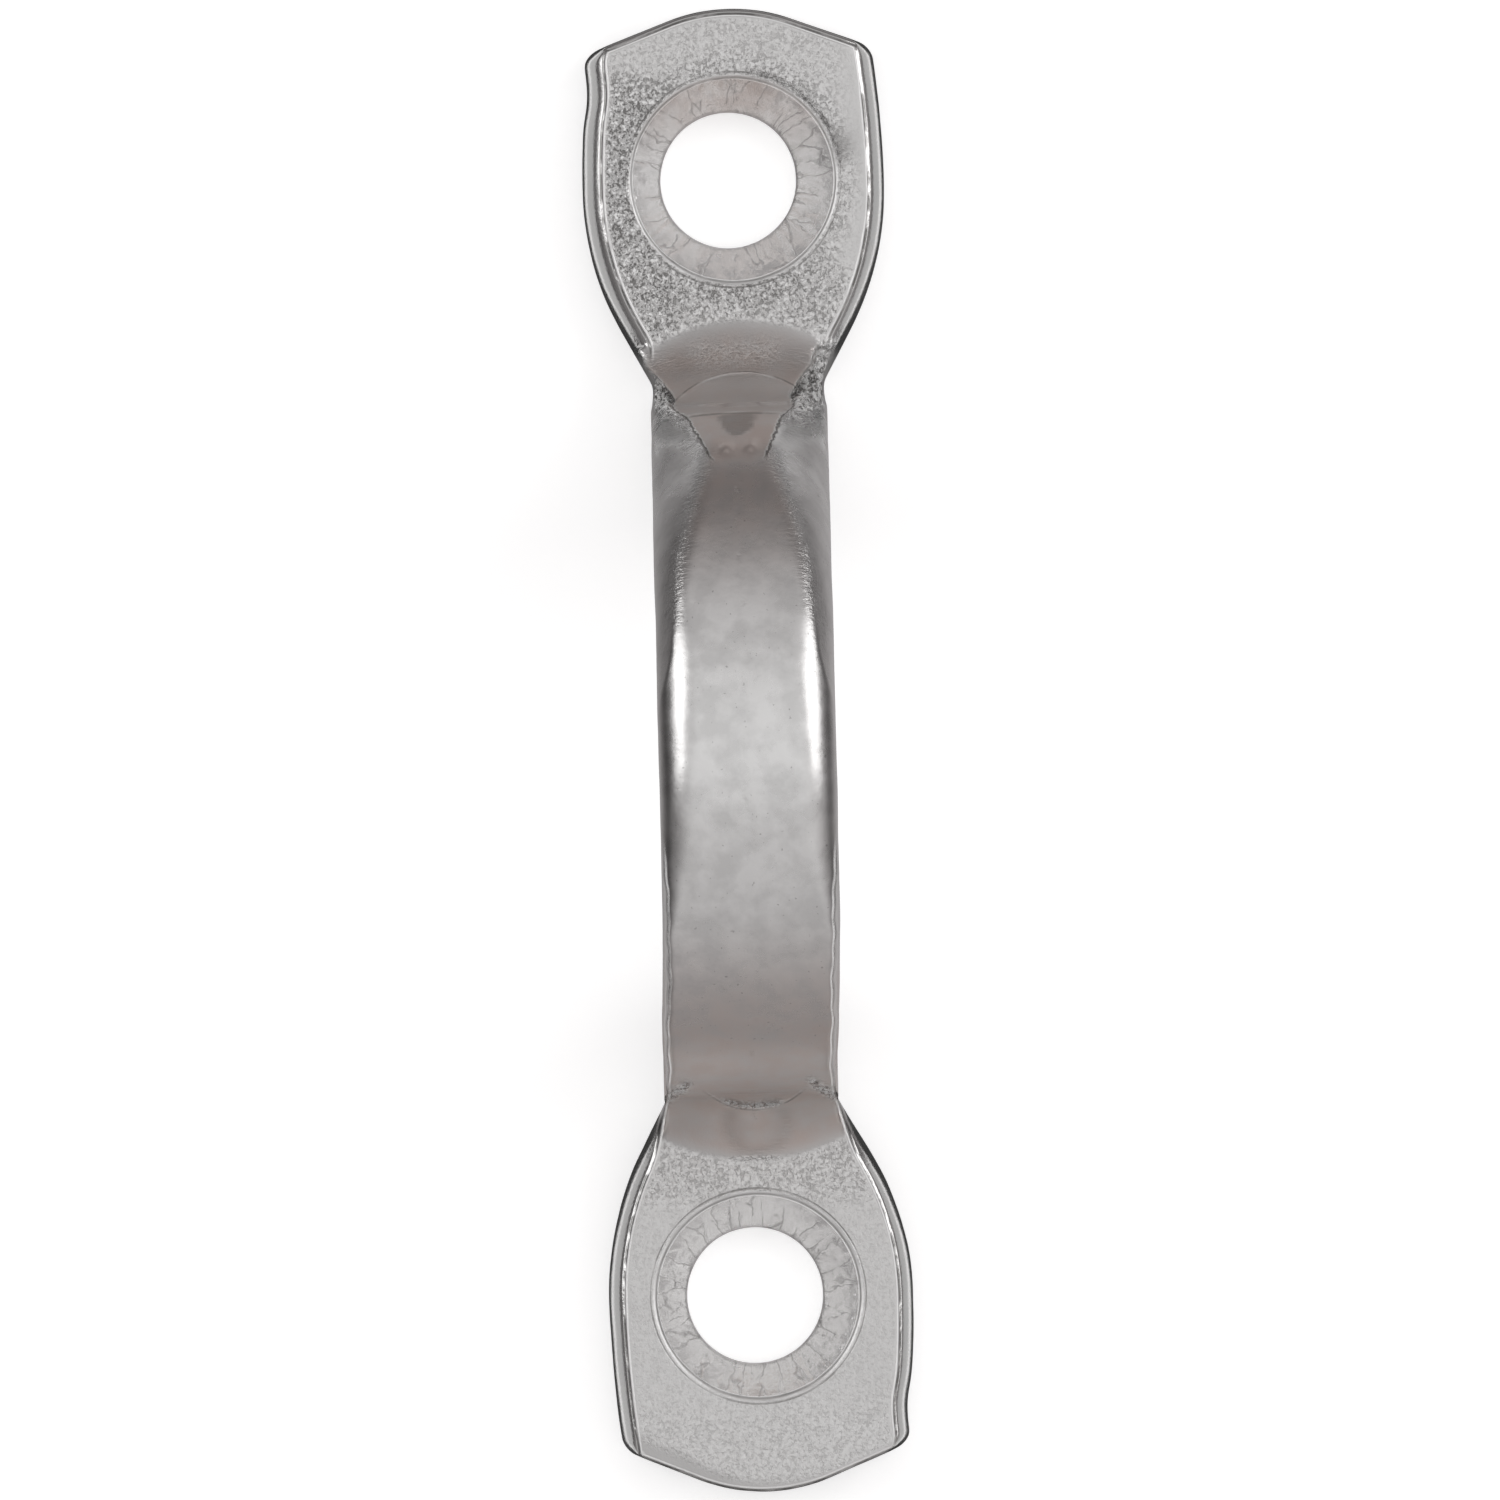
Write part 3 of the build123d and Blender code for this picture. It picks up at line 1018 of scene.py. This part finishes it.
def flat_sheet(name, low, high, grey, glow):
    """A rectangle between two corners, level or standing along X."""
    mesh = bpy.data.meshes.new(name)
    corners = [low, (high[0], low[1], low[2]), high, (low[0], high[1], high[2])]
    mesh.from_pydata(corners, [], [(0, 1, 2, 3)])
    sheet = bpy.data.objects.new(name, mesh)
    bpy.context.scene.collection.objects.link(sheet)
    material = bpy.data.materials.new(name)
    material.use_nodes = True
    shader = material.node_tree.nodes["Principled BSDF"]
    shader.inputs["Base Color"].default_value = (grey, grey, grey, 1)
    shader.inputs["Roughness"].default_value = 0.9
    shader.inputs["Specular IOR Level"].default_value = 0
    shader.inputs["Emission Color"].default_value = (1, 1, 1, 1)
    shader.inputs["Emission Strength"].default_value = glow
    mesh.materials.append(material)
    return sheet


# Small cards on the floor beside each pad, which only reflections see: dark ones paint the contact shade
# and glowing ones paint a lit floor into the reflections; places in metres
CARD_NEAR, CARD_FAR = 0.0145, 0.032      # along the part, from its middle
SHADE_IN, WHITE_IN, WHITE_OUT = 0.0034, 0.0075, 0.0088       # across it
TIP_NEAR, TIP_FAR = 0.029, 0.034
CARD_LIFT = 0.00002                      # keeps a card clear of the floor
WALL_HEIGHT = 0.0026


def pad_card(name, end, side, inner, outer, grey, glow):
    """A level card beside one end's pad, on one side of it."""
    near, far = sorted((CARD_NEAR * end, CARD_FAR * end))
    low, high = sorted((inner * side, outer * side))
    return flat_sheet(name, (near, low, CARD_LIFT), (far, high, CARD_LIFT), grey, glow)


def pad_cards(end):
    near, far = sorted((CARD_NEAR * end, CARD_FAR * end))
    tip_near, tip_far = sorted((TIP_NEAR * end, TIP_FAR * end))
    low = (tip_near, -SHADE_IN, CARD_LIFT)
    high = (tip_far, SHADE_IN, CARD_LIFT)
    # tip_shade and side_shade are dark sheets of painted shade; white_card and low_wall glow as painted
    # reflections.
    cards = [flat_sheet("tip_shade", low, high, 0.05, 0.06)]
    for side in (1, -1):
        wall = WHITE_OUT * side
        cards.append(pad_card("side_shade", end, side, SHADE_IN, WHITE_IN, 0.04, 0.03))
        cards.append(pad_card("white_card", end, side, WHITE_IN, WHITE_OUT, 0.8, 0.5))
        cards.append(flat_sheet("low_wall", (near, wall, 0), (far, wall, WALL_HEIGHT), 0.4, 0.3))
    return cards


def studio():
    room_light()
    for side in (1, -1):
        area_light("soft_wide", (0.14, 0.42 * side, 0.34), (0, 0, 0.01), (0.38, 0.4), 0.42)
        area_light("soft_core", (0.12, 0.36 * side, 0.29), (0, 0, 0.01), (0.24, 0.2), 0.13)
    floor = flat_sheet("floor", (-1.5, -1.5, 0), (1.5, 1.5, 0), 0.95, 0.45)
    floor.visible_glossy = False
    for card in pad_cards(1) + pad_cards(-1):
        card.visible_camera = False
        card.visible_diffuse = False
        card.visible_shadow = False


CAMERA_HEIGHT = 1.5
FRAME_WIDTH = 60.65              # millimetres across the picture, at the pads' top
LEAN = 1.45                      # degrees; the part lies slightly askew in the frame
CAMERA_Y = -0.1                  # millimetres off the part's middle line


def camera():
    data = bpy.data.cameras.new("camera")
    data.sensor_width = 36
    data.lens = data.sensor_width * (CAMERA_HEIGHT - PAD_TOP * MM) / (FRAME_WIDTH * MM)
    data.clip_end = 10
    eye = bpy.data.objects.new("camera", data)
    eye.location = (0, CAMERA_Y * MM, CAMERA_HEIGHT)
    eye.rotation_euler = (0, 0, radians(-90 - LEAN))
    bpy.context.scene.collection.objects.link(eye)
    bpy.context.scene.camera = eye


points, quads = pad_eye_mesh()
zones = finish_and_shade_zones(points)
eye_piece = make_piece("pad_eye_bar", roughened(points), quads, zones)
eye_piece.data.materials.append(steel_material())
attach(eye_piece, "root")
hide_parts(NODE)
studio()
camera()
bpy.context.scene.view_settings.view_transform = "Standard"
